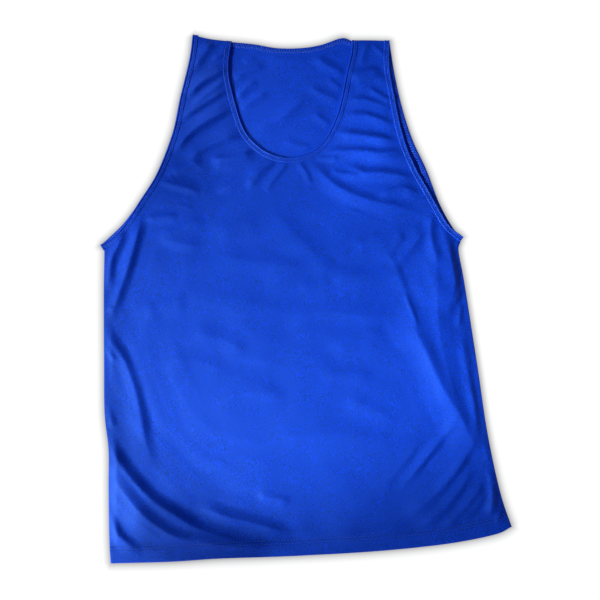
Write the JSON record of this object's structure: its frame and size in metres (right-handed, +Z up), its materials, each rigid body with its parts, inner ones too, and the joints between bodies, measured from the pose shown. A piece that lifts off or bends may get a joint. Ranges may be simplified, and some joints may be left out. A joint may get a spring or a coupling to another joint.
{
  "type": "sleeveless training bib laid flat",
  "caption": "Plain sleeveless sports training vest with a scooped neck and bound edges, laid flat with soft creases.",
  "frame": {"origin": "under the middle of the vest, on the surface that it lies on", "axes": "+Y from hem to shoulders, +X to the right as looked at from above, +Z up from the back panel to the front panel"},
  "size_m": [0.565, 0.7474, 0.0131],
  "materials": {
    "knit": "smooth polyester knit with a soft sheen",
    "binding": "folded polyester knit strip with a soft sheen"
  },
  "bodies": {
    "root": {"front_panel": "knit", "back_panel": "knit", "neck_binding_front": "binding", "neck_binding_back": "binding", "armhole_binding_left_front": "binding", "armhole_binding_left_back": "binding", "armhole_binding_right_front": "binding", "armhole_binding_right_back": "binding"}
  },
  "joints": []
}
